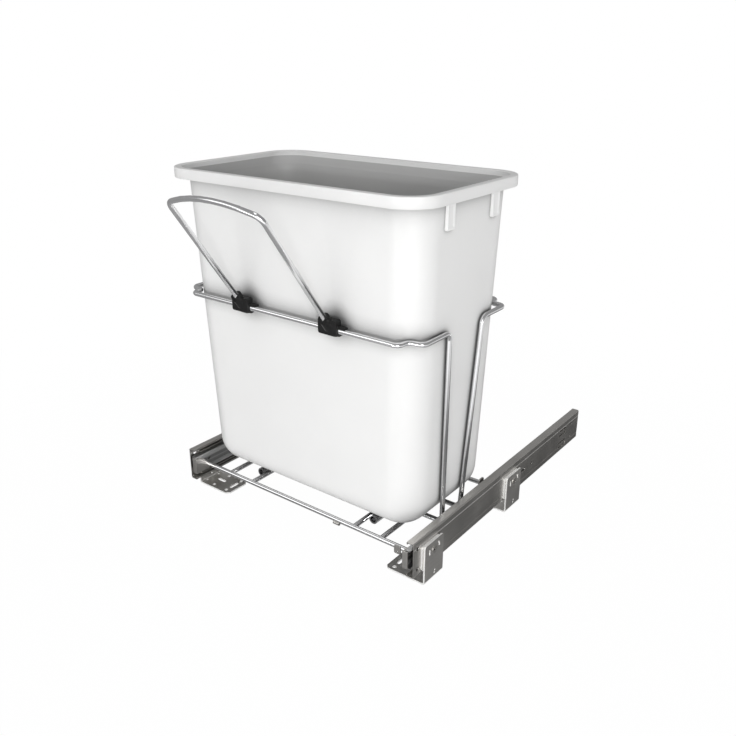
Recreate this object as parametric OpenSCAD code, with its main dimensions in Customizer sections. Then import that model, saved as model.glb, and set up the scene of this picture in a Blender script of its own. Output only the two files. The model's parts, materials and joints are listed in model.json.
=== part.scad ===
// Pull-out waste-bin unit: a plastic bin in a wire frame on two full-extension runners.
// Millimetres. X runs across the unit, Y runs back from the front, Z is up.
// The origin is the middle of the four inner floor-screw holes, at the underside of the feet.
// Local work is done in runner coordinates: Y = 0 at the runners' front, Z = 0 at their underside.

/* [Runners] */
// Width over the outside of both runners
span = 368; // [350:2:400]
// Height of a runner
runner_h = 45; // [44:0.5:48]
// Length of the fixed member
runner_l = 435; // [425:5:500]
// How much shorter the drawer and middle members are than the fixed member
member_short = 35; // [25:1:40]
// Sheet thickness of the runner members
runner_t = 1.2; // [1.1:0.05:1.25]
// Depth of the fixed member's channel
fixed_d = 9.8; // [9.5:0.1:10]
// Depth of a whole runner
runner_d = 12.7; // [12.6:0.1:13]
// Balls in each row of a cage
balls_n = 6; // [4:1:6]

/* [Brackets] */
// Height of the runners above the floor
floor_gap = 17; // [15:1:25]
// Sheet thickness of the brackets
bracket_t = 2; // [1.5:0.1:2.4]
// Width of a bracket along the runner
bracket_w = 38; // [37:1:42]
// Reach of a foot from the bracket's outer face
foot_l = 55; // [54:1:62]
// Height of the bracket's upright leg above the runner's underside
upright_h = 34; // [33:1:38]
// Front edge of the front bracket behind the runner's front
bracket_front_y = 17; // [16:1:24]
// Distance between the front and the rear bracket
bracket_pitch = 190; // [180:5:230]
// Thickness of the spacer between bracket and runner
spacer_t = 2; // [1.5:0.1:2.4]
// Diameter of the floor-screw holes
screw_hole_d = 4.5; // [4:0.1:5]

/* [Wire frame] */
// Diameter of every wire
wire_d = 6; // [5:0.2:6.4]
// Height of the floor wires' centres above the runner's underside
floor_wire_z = 19; // [18:0.5:20]
// Height of the hoops' centres above the runner's underside
hoop_z = 267.5; // [240:1:285]
// Lean of a hoop's leg outward from its foot to the side run
leg_splay = 7; // [6.8:0.1:8.8]
// Centre of the front hoop's front wire behind the runner's front
hoop_front_y = 6; // [4:0.5:7]
// Outer diameter of the receiver tubes
tube_od = 12; // [11:0.5:12]
// Bore of the receiver tubes
tube_bore = 8; // [6:0.5:9]
// Length of the receiver tubes
tube_l = 33; // [20:1:34]

/* [Handle] */
// Distance between the handle's legs
bail_w = 132; // [110:2:150]
// Length from the hoop's wire to the handle's corners
bail_l = 165; // [140:1:168]
// Extra reach of the handle's bow at its middle
bail_bow = 13; // [8:1:16]
// Lean of the handle from upright
bail_lean = 35.5; // [30:0.5:40]
// Length of a clip along the hoop's wire
clip_l = 34; // [30:1:38]
// Radial clearance between clip and wire
clip_fit = 0.05; // [0.03:0.01:0.1]

/* [Bin] */
// Overall height of the bin
bin_h = 390.4; // [360:1:400]
// Reach of the rim past the neck at the short sides
rim_reach_x = 9.5; // [9:0.1:11]
// Reach of the rim past the neck at the front and the back
rim_reach_y = 14.9; // [14:0.1:16]
// Wall thickness of the bin
bin_t = 2.4; // [2:0.1:3]

/* [Hidden] */
$fn = 48;

// Overrun of every cut past the face it leaves
cut = 1;
zinc = [0.47, 0.46, 0.44];
bright = [0.78, 0.79, 0.8];
steel_ball = [0.7, 0.7, 0.72];
black = [0.07, 0.07, 0.07];
white = [0.95, 0.95, 0.94];

// Places of the brackets and of the origin
half_span = span / 2;
face_x = half_span + spacer_t;
outer_x = face_x + bracket_t;
screw_in_share = 46 / 55;
screw_x = outer_x - foot_l * screw_in_share;
screw_front = 6;
screw_y = bracket_front_y + screw_front;
front_y = -(screw_y + bracket_pitch / 2);

// Runner members: corner radii, lips, races and their gaps
member_l = runner_l - member_short;
bend_r = 2;
lip_h = 2.6;
lip_inset = fixed_d - runner_t;
ball_gap = 0.05;
outer_ball_d = 4.4;
inner_ball_d = 3.5;
middle_z0 = runner_t + outer_ball_d + 2 * ball_gap;
drawer_z0 = middle_z0 + runner_t + inner_ball_d + 2 * ball_gap;
outer_web_gap = 1.4;
middle_inset = runner_t + outer_web_gap;
middle_depth = 10;
drawer_inset = 5;
outer_ball_inset = 5.4;
inner_ball_inset = 7.5;
outer_ball_z = runner_h - runner_t - ball_gap - outer_ball_d / 2;
inner_ball_z = runner_h - middle_z0 - runner_t - ball_gap - inner_ball_d / 2;
cage_t = 0.7;
cage_side_gap = 0.35;
inner_cage_gap = 0.25;
cage_window = 0.15;
outer_cage_depth = 8.2;
inner_cage_depth = 9.6;
middle_y0 = 10;
ear_gap = 0.5;
cage_end = 10;
outer_pitch = 32;
inner_pitch = 30;
outer_cage_y0 = 115;
outer_cage_l = 2 * cage_end + (balls_n - 1) * outer_pitch;
inner_cage_y0 = 120;
inner_cage_l = 2 * cage_end + (balls_n - 1) * inner_pitch;
groove_w = 12;
groove_h = 0.4;
race_line_w = 1;
race_line_h = 0.3;
race_line_z = 8.6;

// Holes in the fixed member's web
end_hole_d = 5.2;
front_hole_y = 8;
front_hole_z = 9;
slot_l = 12;
slot_in = 176;
web_hole_in = 151;
rear_hole_in = 26;
rear_hole_z = 12.5;
tab_cut_in = 64;
tab_cut_l = 22;
tab_cut_w = 2.2;
tab_upper_z = 25.5;
tab_upper_h = 9.5;
tab_lower_z = 7;
tab_lower_h = 9;

// Rear stop
stop_gap = 1;
stop_l = 10;
stop_w = 8;
stop_h = 17;

// Brackets and spacers
foot_bend_r = 3;
plate_corner_r = 3;
spacer_lead = 2.4;
spacer_w = 36;
spacer_z0 = 3;
rivet_y = 19;
rivet_z = 22;
rivet_r = 3;
rivet_bore_r = 1.8;
rivet_head_r = 4.6;
rivet_head_t = 0.7;
rivet_sink_r = 4.2;
arc_slot_r = 10;
arc_slot_w = 2.4;
arc_slot_turn = 40;
pin_hole_d = 2.4;
pin_hole_y = 21;
pin_hole_z = -7;
pin_step_y = 1;
pin_step_z = 3;
foot_slot_y = 13;
foot_slot_l = 15;
rear_screw = 34;
middle_screw_x = 24;
cross_slot_l = 15;
outer_hole_d = 3;
outer_hole_x = 5;
outer_hole_y = 8.6;
outer_hole_pitch = 20.6;
notch_w = 4;

// Ears, side plates and rivets of the drawer members
ear_t = 1.5;
inner_x = half_span - runner_d;
plate_x = inner_x - ear_t;
ear_reach = 5.7;
ear_l = 21;
ear_low_z = 11;
ear_back_z = 18;
ear_step_y = 14;
ear_step_z = 26.5;
ear_top_y = 6;
ear_top_z = 33;
side_y0 = 74;
side_l = 132;
side_z0 = 10.5;
side_h = 22;
lug_y = 163;
lug_w = 11;
lug_h = 14;
plate_rivet_r = 2;
plate_rivet_head_r = 3.2;
plate_rivet_head_t = 0.8;
side_rivet_in = 30;
side_rivet_pitch = 50;
side_rivet_ys = [side_y0 + side_rivet_in, side_y0 + side_rivet_in + side_rivet_pitch];
ear_rivet_y = 9.5;
ear_rivet_z = 22.5;
ear_rivet_r = 1.6;
peep_hole_y = 22;
peep_hole_z = 24.4;
peep_hole_r = 1.9;

// Wire frame
wire_r = wire_d / 2;
bar_y = 18.5;
rear_bar_y = 200;
outer_floor_x = 125;
inner_floor_x = 85;
hoop_bottom_z = floor_wire_z + wire_d;
leg_base_x = plate_x - wire_r;
front_leg_y = 73;
front_base_y = 84;
rear_base_y = 124.5;
frame_mid_y = 107.5;
hoop_bend = 7;
leg_bend = 9;
bend_step = 15;
bend_chord = 12;
wire_sides = 16;
hoop_x = leg_base_x + leg_splay;
lobe_in = 19.2;
dent_in = 18.2;
lobe_x = hoop_x - lobe_in;
dent_x = hoop_x - dent_in;
dent_back = 15.6;
lobe_back = 18;
tube_y0 = 45;
tube_x = inner_floor_x + wire_r + tube_od / 2;
tab_in = 23;
tab_x0 = plate_x - tab_in;
tab_w = 8.8;
tab_low = 7.5;
tab_t = 1.4;
tab_sink = 0.8;
tab_corner_r = 1.5;
tab_hole_z = 2.7;
tab_hole_d = 2.4;
stub_x = 56.5;
stub_l = 8.5;
stub_d = 5;
stub_ahead = 2.2;
stub_drop = 2.8;

// Handle and clips
bail_corner_r = 12;
bow_share = 1.74;
bow_vertex = bail_bow * bow_share;
bow_angle = atan(2 * bow_vertex / bail_w);
bow_r = (bow_vertex - bail_bow) / (1 / cos(bow_angle) - 1);
socket_s = 7;
clip_body_x0 = -12.4;
clip_body_x1 = 12.6;
clip_low = 4.6;
clip_high = 12.4;
clip_front = 7;
clip_back = 2.3;
clip_corner_r = 2.5;
clip_barrel_r = 6.1;
clip_sleeve_r = 6.4;
clip_top = 20;
leg_groove_s = 15;
jaw_reach = 4;
jaw_drop = 5.4;
jaw_rise = 3.5;
jaw_w = 8.2;
prong_in = 2.6;
prong_high = 5.8;
prong_w = 5.2;
snap_w = 4.8;

// Bin
bin_gap = 0.3;
bin_ahead = 1.5;
bin_y = frame_mid_y - bin_ahead;
bin_z0 = floor_wire_z + wire_d + wire_r + bin_gap;
rim_r = 39;
rim_h = 12;
rim_lip = 9;
rim_edge_r = 1.8;
lip_edge_r = 1.8;
rim_edge_steps = 3;
skirt_t = 2.2;
foot_inset = 2.7;
hoop_gap = 4;
draft_x = 10;
draft_y = 9.5;
body_low_x = leg_base_x - foot_inset;
body_top_x = body_low_x + draft_x;
body_top_y = frame_mid_y - hoop_front_y - wire_r - hoop_gap;
body_low_y = body_top_y - draft_y;
rim_x = body_top_x + rim_reach_x;
rim_y = body_top_y + rim_reach_y;
body_r = 38;
base_round = 36;
base_steps = 8;
ring_steps = 7;
floor_t = 2.8;
flare_h = 16;
pad_w = 15;
pad_proud = 2.8;
pad_sink = 1;
pad_h = 28;
pad_pitch = 90;
pad_shift = 2;
pad_mid_y = bin_y + pad_shift;
pad_ys = [pad_mid_y - pad_pitch / 2, pad_mid_y + pad_pitch / 2];

// Helpers

// Moves runner coordinates into the unit's frame
module runner_frame() {
    translate([0, front_y, floor_gap])
        children();
}

// Draws on the right (side = 1) or mirrored on the left (side = -1)
module handed(side) {
    mirror([side < 0 ? 1 : 0, 0, 0])
        children();
}

// Rounded rectangle from its lower corner
module round_rect(w, h, r) {
    translate([r, 0])
        square([w - 2 * r, h]);
    translate([0, r])
        square([w, h - 2 * r]);
    for (x = [r, w - r], y = [r, h - r])
        translate([x, y])
            circle(r = r);
}

// Slot along the first axis, centred
module slot_shape(l, d) {
    square([l - d, d], center = true);
    for (s = [-1, 1])
        translate([s * (l - d) / 2, 0])
            circle(d = d);
}

// Extrudes a (depth from the outer face, height) profile along the runner
module along_runner(y0, l) {
    translate([half_span, y0 + l, 0])
        rotate([90, 0, 0])
            mirror([1, 0, 0])
                linear_extrude(height = l)
                    children();
}

// Extrudes a (Y, Z) outline inward from the plane x by t
module sheet_yz(x, t) {
    translate([x - t, 0, 0])
        rotate([90, 0, 90])
            linear_extrude(height = t)
                children();
}

// Channel profile with its web at u0, its flanges to u1 and both outer corners rounded
module channel(u0, u1, z0, t, r) {
    h = runner_h - 2 * z0;
    difference() {
        union() {
            translate([u0, z0])
                round_rect(2 * r + t, h, r);
            translate([u0 + r, z0])
                square([u1 - u0 - r, h]);
        }
        translate([u0 + t, z0 + t])
            round_rect(2 * r, h - 2 * t, r - t / 2);
        translate([u0 + r, z0 + t])
            square([u1 - u0, h - 2 * t]);
    }
}

function unit(v) = v / norm(v);

// Distance from a bend's corner to where its arc starts
function reach(r, a, b) = r * tan(acos(a * b) / 2);

// Rings [centre, direction] along the bend of radius r at the corner q between the points p and s
function bend_rings(p, q, s, r) =
    let (
        a = unit(q - p),
        b = unit(s - q),
        turn = acos(a * b),
        u = cross(a, unit(cross(a, b))),
        middle = q - a * reach(r, a, b) - u * r,
        n = ceil(max(turn / bend_step, PI * r * turn / 180 / bend_chord))
    )
    [for (i = [0 : n]) let (t = turn * i / n)
        [middle + r * (u * cos(t) + a * sin(t)), a * cos(t) - u * sin(t)]];

// Rings of a closed loop through the corners p with the bend radii r
function loop_rings(p, r) =
    let (n = len(p))
    [for (i = [0 : n - 1]) each bend_rings(p[(i + n - 1) % n], p[i], p[(i + 1) % n], r[i])];

// Rings of an open wire, with r for its inner corners
function wire_rings(p, r) =
    let (n = len(p) - 1)
    concat(
        [[p[0], unit(p[1] - p[0])]],
        [for (i = [1 : n - 1]) each bend_rings(p[i - 1], p[i], p[i + 1], r[i - 1])],
        [[p[n], unit(p[n] - p[n - 1])]]
    );

// Turns v, square to a, by the least turn that takes direction a to b
function roll(v, a, b) = v - (a + b) * (b * v) / (1 + a * b);

// One side direction for each ring, carried along without twist
function sides_of(rings, v, i = 0) =
    i == len(rings) - 1 ? [v] :
    concat([v], sides_of(rings, roll(v, rings[i][1], rings[i + 1][1]), i + 1));

// Points round every ring
function tube_points(rings, v, r) =
    let (side = sides_of(rings, v))
    [for (i = [0 : len(rings) - 1], j = [0 : wire_sides - 1])
        let (a = 360 * j / wire_sides, u = side[i], w = cross(rings[i][1], u))
        rings[i][0] + r * (u * cos(a) + w * sin(a))];

// Triangles between ring i and ring k
function band(i, k) = [
    for (j = [0 : wire_sides - 1])
        let (next = (j + 1) % wire_sides, a = i * wire_sides, b = k * wire_sides)
        each [[a + j, b + j, b + next], [a + j, b + next, a + next]]
];

// Closed wire loop
module wire_loop(p, r, v) {
    rings = loop_rings(p, r);
    n = len(rings);
    polyhedron(
        tube_points(rings, v, wire_r),
        [for (i = [0 : n - 1]) each band(i, (i + 1) % n)]
    );
}

// Open wire with flat ends
module wire_rod(p, r, v) {
    rings = wire_rings(p, r);
    n = len(rings);
    last = (n - 1) * wire_sides;
    polyhedron(
        tube_points(rings, v, wire_r),
        concat(
            [for (i = [0 : n - 2]) each band(i, i + 1)],
            [for (j = [1 : wire_sides - 2]) [0, j, j + 1]],
            [for (j = [1 : wire_sides - 2]) [last, last + j + 1, last + j]]
        )
    );
}

// Runner members

module fixed_member(side) {
    color(zinc)
        runner_frame()
            handed(side)
                difference() {
                    union() {
                        along_runner(0, runner_l)
                            channel(0, fixed_d, 0, runner_t, bend_r);
                        along_runner(0, runner_l)
                            fixed_lips();
                    }
                    fixed_holes();
                    for (z = [race_line_z, runner_h - race_line_z])
                        translate([half_span - race_line_h, -cut, z - race_line_w / 2])
                            cube([race_line_h + cut, runner_l + 2 * cut, race_line_w]);
                }
}

module fixed_lips() {
    for (z = [0, runner_h - lip_h])
        translate([lip_inset, z])
            square([runner_t, lip_h]);
}

module fixed_holes() {
    web_cut(front_hole_y, front_hole_z)
        circle(d = end_hole_d);
    web_cut(front_hole_y, runner_h - front_hole_z)
        circle(d = end_hole_d);
    web_cut(runner_l - slot_in, runner_h / 2)
        slot_shape(slot_l, end_hole_d);
    web_cut(runner_l - web_hole_in, runner_h / 2)
        circle(d = end_hole_d);
    web_cut(runner_l - rear_hole_in, rear_hole_z)
        circle(d = end_hole_d);
    web_cut(runner_l - rear_hole_in, runner_h - rear_hole_z)
        circle(d = end_hole_d);
    web_cut(runner_l - tab_cut_in, tab_upper_z)
        tongue_cut(tab_upper_h);
    web_cut(runner_l - tab_cut_in, tab_lower_z)
        tongue_cut(tab_lower_h);
    for (y = [0, bracket_pitch])
        translate([0, bracket_front_y + rivet_y + y, rivet_z])
            rotate([0, 90, 0])
                translate([0, 0, half_span - runner_t])
                    cylinder(h = runner_t, r1 = rivet_sink_r, r2 = rivet_r);
}

// Cut through the fixed member's web at a (Y, Z) place
module web_cut(y, z) {
    translate([0, y, z])
        sheet_yz(half_span + cut, runner_t + 2 * cut)
            children();
}

// U-shaped slit round a tongue
module tongue_cut(h) {
    difference() {
        square([tab_cut_l, h]);
        translate([-cut, tab_cut_w])
            square([tab_cut_l + cut - tab_cut_w, h - 2 * tab_cut_w]);
    }
}

module middle_member(side) {
    color(zinc)
        runner_frame()
            handed(side)
                along_runner(middle_y0, member_l)
                    channel(middle_inset, middle_depth, middle_z0, runner_t, bend_r);
}

module drawer_member(side) {
    h = runner_h - 2 * drawer_z0;
    color(zinc)
        runner_frame()
            handed(side)
                difference() {
                    along_runner(-ear_gap, member_l + ear_gap)
                        drawer_profile(h);
                    translate([inner_x - cut, -ear_gap - cut, runner_h / 2 - groove_w / 2])
                        cube([groove_h + cut, member_l + ear_gap + 2 * cut, groove_w]);
                    for (y = side_rivet_ys)
                        drawer_hole(y, side_z0 + side_h / 2, plate_rivet_r);
                    drawer_hole(ear_rivet_y, ear_rivet_z, ear_rivet_r);
                    drawer_hole(peep_hole_y, peep_hole_z, peep_hole_r);
                }
}

module drawer_profile(h) {
    difference() {
        union() {
            translate([drawer_inset, drawer_z0])
                square([runner_d - drawer_inset - bend_r, h]);
            translate([runner_d - 2 * bend_r - runner_t, drawer_z0])
                round_rect(2 * bend_r + runner_t, h, bend_r);
        }
        translate([drawer_inset - cut, drawer_z0 + runner_t])
            square([runner_d - runner_t - drawer_inset + cut, h - 2 * runner_t]);
    }
}

module drawer_hole(y, z, r) {
    translate([inner_x - cut, y, z])
        rotate([0, 90, 0])
            cylinder(h = runner_t + 2 * cut, r = r);
}

// Ball cages: a web with a windowed strip above and below
module cage(side, y0, l, u0, u1, ball_u, ball_z, ball_d) {
    pitch = (l - 2 * cage_end) / (balls_n - 1);
    strip_z0 = runner_h - ball_z - cage_t / 2;
    color(steel_ball)
        runner_frame()
            handed(side)
                difference() {
                    along_runner(y0, l)
                        cage_profile(u0, u1, strip_z0);
                    for (i = [0 : balls_n - 1], z = [ball_z, runner_h - ball_z])
                        translate([half_span - ball_u, y0 + cage_end + i * pitch, z - ball_d / 2])
                            cylinder(h = ball_d, d = ball_d + 2 * cage_window);
                }
}

module cage_profile(u0, u1, z0) {
    h = runner_h - 2 * z0;
    difference() {
        translate([u0, z0])
            square([u1 - u0, h]);
        translate([u0 + cage_t, z0 + cage_t])
            square([u1 - u0, h - 2 * cage_t]);
    }
}

module balls(side, y0, l, ball_u, ball_z, ball_d) {
    pitch = (l - 2 * cage_end) / (balls_n - 1);
    color(steel_ball)
        runner_frame()
            handed(side)
                for (i = [0 : balls_n - 1], z = [ball_z, runner_h - ball_z])
                    translate([half_span - ball_u, y0 + cage_end + i * pitch, z])
                        sphere(d = ball_d);
}

module outer_cage(side) {
    cage(side, outer_cage_y0, outer_cage_l, runner_t + cage_side_gap, outer_cage_depth,
        outer_ball_inset, outer_ball_z, outer_ball_d);
}

module outer_balls(side) {
    balls(side, outer_cage_y0, outer_cage_l, outer_ball_inset, outer_ball_z, outer_ball_d);
}

module inner_cage(side) {
    cage(side, inner_cage_y0, inner_cage_l, middle_inset + runner_t + inner_cage_gap, inner_cage_depth,
        inner_ball_inset, inner_ball_z, inner_ball_d);
}

module inner_balls(side) {
    balls(side, inner_cage_y0, inner_cage_l, inner_ball_inset, inner_ball_z, inner_ball_d);
}

module rear_stop(side) {
    color(black)
        runner_frame()
            handed(side)
                translate([half_span - runner_t - stop_w, middle_y0 + member_l + stop_gap,
                        (runner_h - stop_h) / 2])
                    cube([stop_w, stop_l, stop_h]);
}

// Brackets

// Place of a bracket: row 0 is the front one and row 1 the rear one
module bracket_place(row, side) {
    runner_frame()
        handed(side)
            translate([0, bracket_front_y + row * bracket_pitch, 0])
                children();
}

module bracket(row, side) {
    color(zinc)
        bracket_place(row, side)
            difference() {
                union() {
                    upright_plate();
                    foot_plate();
                    foot_corner();
                }
                upright_holes();
                foot_holes();
            }
}

module upright_plate() {
    z0 = foot_bend_r - floor_gap;
    h = upright_h - z0;
    translate([0, 0, z0])
        sheet_yz(outer_x, bracket_t) {
            square([bracket_w, h - 2 * plate_corner_r]);
            translate([0, h / 2])
                round_rect(bracket_w, h / 2, plate_corner_r);
        }
}

module foot_plate() {
    l = foot_l - foot_bend_r;
    translate([outer_x - foot_l, 0, -floor_gap])
        linear_extrude(height = bracket_t)
            polygon([
                [notch_w, 0], [l, 0], [l, bracket_w], [notch_w, bracket_w],
                [0, bracket_w - notch_w], [0, notch_w]
            ]);
}

// Bend between foot and upright
module foot_corner() {
    translate([outer_x - foot_bend_r, bracket_w, foot_bend_r - floor_gap])
        rotate([90, 0, 0])
            linear_extrude(height = bracket_w)
                intersection() {
                    difference() {
                        circle(r = foot_bend_r);
                        circle(r = foot_bend_r - bracket_t);
                    }
                    translate([0, -foot_bend_r])
                        square(foot_bend_r);
                }
}

module upright_holes() {
    translate([0, rivet_y, rivet_z])
        sheet_yz(outer_x + cut, bracket_t + 2 * cut) {
            circle(r = rivet_r);
            for (a = [180, 20])
                rotate(a)
                    arc_slot();
        }
    for (s = [0, 1])
        translate([0, pin_hole_y - s * pin_step_y, pin_hole_z - s * pin_step_z])
            sheet_yz(outer_x + cut, bracket_t + 2 * cut)
                circle(d = pin_hole_d);
}

// Curved slot about the rivet
module arc_slot() {
    intersection() {
        difference() {
            circle(r = arc_slot_r + arc_slot_w / 2);
            circle(r = arc_slot_r - arc_slot_w / 2);
        }
        polygon([
            [0, 0],
            2 * arc_slot_r * [cos(arc_slot_turn / 2), -sin(arc_slot_turn / 2)],
            2 * arc_slot_r * [cos(arc_slot_turn / 2), sin(arc_slot_turn / 2)]
        ]);
    }
}

module foot_holes() {
    foot_cut(screw_x, screw_front)
        circle(d = screw_hole_d);
    foot_cut(screw_x, rear_screw)
        circle(d = screw_hole_d);
    foot_cut(screw_x, foot_slot_y + foot_slot_l / 2)
        rotate(90)
            slot_shape(foot_slot_l, screw_hole_d);
    foot_cut(screw_x + middle_screw_x, screw_front)
        circle(d = screw_hole_d);
    foot_cut(screw_x + middle_screw_x, rear_screw)
        circle(d = screw_hole_d);
    foot_cut(screw_x + middle_screw_x, foot_slot_y + foot_slot_l / 2)
        slot_shape(cross_slot_l, screw_hole_d);
    for (y = [0, outer_hole_pitch])
        foot_cut(outer_x - outer_hole_x, outer_hole_y + y)
            circle(d = outer_hole_d);
}

module foot_cut(x, y) {
    translate([x, y, -floor_gap - cut])
        linear_extrude(height = bracket_t + 2 * cut)
            children();
}

module spacer(row, side) {
    color(zinc)
        bracket_place(row, side)
            difference() {
                translate([0, -spacer_lead, spacer_z0])
                    sheet_yz(face_x, spacer_t)
                        round_rect(spacer_w, upright_h - spacer_z0, plate_corner_r);
                translate([0, rivet_y, rivet_z])
                    sheet_yz(face_x + cut, spacer_t + 2 * cut)
                        circle(r = rivet_r);
            }
}

// Hollow rivets through fixed member, spacer and bracket
module bracket_rivets(side) {
    color(zinc)
        for (row = [0, 1])
            bracket_place(row, side)
                translate([0, rivet_y, rivet_z])
                    rotate([0, 90, 0])
                        difference() {
                            rivet_body();
                            translate([0, 0, half_span - runner_t - cut])
                                cylinder(h = outer_x - half_span + 2 * cut + runner_t, r = rivet_bore_r);
                        }
}

module rivet_body() {
    translate([0, 0, half_span - runner_t])
        cylinder(h = runner_t, r1 = rivet_sink_r, r2 = rivet_r);
    translate([0, 0, half_span])
        cylinder(h = outer_x - half_span, r = rivet_r);
    translate([0, 0, outer_x])
        cylinder(h = rivet_head_t, r = rivet_head_r);
}

// Plates on the drawer members

module front_ear(side) {
    color(zinc)
        runner_frame()
            handed(side)
                difference() {
                    union() {
                        sheet_yz(inner_x, ear_t)
                            ear_outline();
                        translate([inner_x - ear_t, -ear_gap - ear_t, ear_low_z])
                            cube([ear_t + ear_reach, ear_t, ear_top_z - ear_low_z]);
                    }
                    translate([plate_x - cut, ear_rivet_y, ear_rivet_z])
                        rotate([0, 90, 0])
                            cylinder(h = ear_t + 2 * cut, r = ear_rivet_r);
                }
}

module ear_outline() {
    y0 = -ear_gap - ear_t;
    polygon([
        [y0, ear_low_z], [ear_l, ear_low_z], [ear_l, ear_back_z],
        [ear_step_y, ear_step_z], [ear_top_y, ear_top_z], [y0, ear_top_z]
    ]);
}

module side_plate(side) {
    color(zinc)
        runner_frame()
            handed(side)
                sheet_yz(inner_x, ear_t)
                    difference() {
                        union() {
                            translate([side_y0, side_z0])
                                round_rect(side_l, side_h, plate_corner_r);
                            translate([lug_y, side_z0 + side_h - plate_corner_r])
                                round_rect(lug_w, lug_h + plate_corner_r, plate_corner_r);
                        }
                        for (y = side_rivet_ys)
                            translate([y, side_z0 + side_h / 2])
                                circle(r = plate_rivet_r);
                    }
}

// Rivets through a plate and the drawer member's web, flush on the web's far side
module plate_rivet(y, z) {
    translate([plate_x, y, z])
        rotate([0, 90, 0]) {
            cylinder(h = ear_t + runner_t, r = plate_rivet_r);
            translate([0, 0, -plate_rivet_head_t])
                cylinder(h = plate_rivet_head_t, r = plate_rivet_head_r);
        }
}

module plate_rivets(side) {
    color(zinc)
        runner_frame()
            handed(side)
                for (y = side_rivet_ys)
                    plate_rivet(y, side_z0 + side_h / 2);
}

// Rivet through the ear and the drawer member's web, flush on both sides
module ear_rivets(side) {
    color(zinc)
        runner_frame()
            handed(side)
                translate([plate_x, ear_rivet_y, ear_rivet_z])
                    rotate([0, 90, 0])
                        cylinder(h = ear_t + runner_t, r = ear_rivet_r);
}

// Wire frame

// Straight bar from plate to plate
module cross_bar(y) {
    translate([-plate_x, y, floor_wire_z])
        rotate([0, 90, 0])
            cylinder(h = 2 * plate_x, d = wire_d);
}

module front_bar() {
    color(bright)
        runner_frame()
            cross_bar(bar_y);
}

module rear_bar() {
    color(bright)
        runner_frame()
            cross_bar(rear_bar_y);
}

// Tab with a hole, welded to the front of the front bar at its right end
module bar_tab() {
    color(zinc)
        runner_frame()
            difference() {
                translate([tab_x0, bar_y - wire_r + tab_sink, floor_wire_z - tab_low])
                    rotate([90, 0, 0])
                        linear_extrude(height = tab_t)
                            difference() {
                                round_rect(tab_w, tab_low + wire_r, tab_corner_r);
                                translate([tab_w / 2, tab_hole_z])
                                    circle(d = tab_hole_d);
                            }
                cross_bar(bar_y);
            }
}

// Short rod welded along the front bar's lower front side
module bar_stub() {
    color(bright)
        runner_frame()
            difference() {
                translate([stub_x, bar_y - stub_ahead, floor_wire_z - stub_drop])
                    rotate([0, 90, 0])
                        cylinder(h = stub_l, d = stub_d);
                cross_bar(bar_y);
            }
}

// Wire between the bars, coped to fit both
module floor_wire(x) {
    color(bright)
        runner_frame()
            difference() {
                translate([x, bar_y, floor_wire_z])
                    rotate([-90, 0, 0])
                        cylinder(h = rear_bar_y - bar_y, d = wire_d);
                cross_bar(bar_y);
                cross_bar(rear_bar_y);
            }
}

module receiver_tube(side) {
    color(bright)
        runner_frame()
            translate([side * tube_x, tube_y0, floor_wire_z])
                rotate([-90, 0, 0])
                    difference() {
                        cylinder(h = tube_l, d = tube_od);
                        translate([0, 0, -cut])
                            cylinder(h = tube_l + 2 * cut, d = tube_bore);
                    }
}

// Corners of one side of a hoop (s = 1 right, s = -1 left) whose bottom run is at base_y
function hoop_side(s, base_y) = [
    [s * lobe_x, hoop_front_y, hoop_z],
    [s * dent_x, hoop_front_y + dent_back, hoop_z],
    [s * hoop_x, hoop_front_y + lobe_back, hoop_z],
    [s * hoop_x, front_leg_y, hoop_z],
    [s * leg_base_x, base_y, hoop_bottom_z]
];

function hoop_corners(base_y) =
    concat(hoop_side(1, base_y), [for (i = [4 : -1 : 0]) hoop_side(-1, base_y)[i]]);

hoop_radii = [
    hoop_bend, hoop_bend, hoop_bend, leg_bend, leg_bend,
    leg_bend, leg_bend, hoop_bend, hoop_bend, hoop_bend
];

module hoop(base_y) {
    wire_loop(hoop_corners(base_y), hoop_radii, [0, 0, 1]);
}

module front_hoop() {
    color(bright)
        runner_frame()
            hoop(front_base_y);
}

module rear_hoop() {
    color(bright)
        runner_frame()
            translate([0, 2 * frame_mid_y, 0])
                mirror([0, 1, 0])
                    hoop(2 * frame_mid_y - rear_base_y);
}

// Handle

// Frame of the handle: origin on the hoop's wire, Z along its legs, leaning forward
module handle_frame() {
    runner_frame()
        translate([0, hoop_front_y, hoop_z])
            rotate([bail_lean, 0, 0])
                children();
}

module handle_bail() {
    x = bail_w / 2;
    color(bright)
        handle_frame()
            wire_rod(
                [[-x, 0, socket_s], [-x, 0, bail_l], [0, 0, bail_l + bow_vertex], [x, 0, bail_l], [x, 0, socket_s]],
                [bail_corner_r, bow_r, bail_corner_r],
                [0, 1, 0]
            );
}

module clip(side) {
    bore_r = wire_r + clip_fit;
    color(black)
        handle_frame()
            translate([side * bail_w / 2, 0, 0])
                difference() {
                    union() {
                        clip_upright()
                            clip_jaws();
                        translate([clip_body_x0, 0, 0])
                            rotate([0, 90, 0])
                                cylinder(h = clip_body_x1 - clip_body_x0, r = clip_barrel_r);
                        cylinder(h = clip_top, r = clip_sleeve_r);
                    }
                    translate([-clip_l, 0, 0])
                        rotate([0, 90, 0])
                            cylinder(h = 2 * clip_l, r = bore_r);
                    translate([0, 0, socket_s])
                        cylinder(h = clip_top, r = bore_r);
                    translate([-snap_w / 2, -2 * clip_sleeve_r, leg_groove_s])
                        cube([snap_w, 2 * clip_sleeve_r, clip_top]);
                    clip_upright()
                        translate([-clip_l, 0, -snap_w / 2])
                            cube([2 * clip_l, 2 * clip_barrel_r, snap_w]);
                }
}

// Turns back to upright inside the leaning handle
module clip_upright() {
    rotate([-bail_lean, 0, 0])
        children();
}

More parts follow.
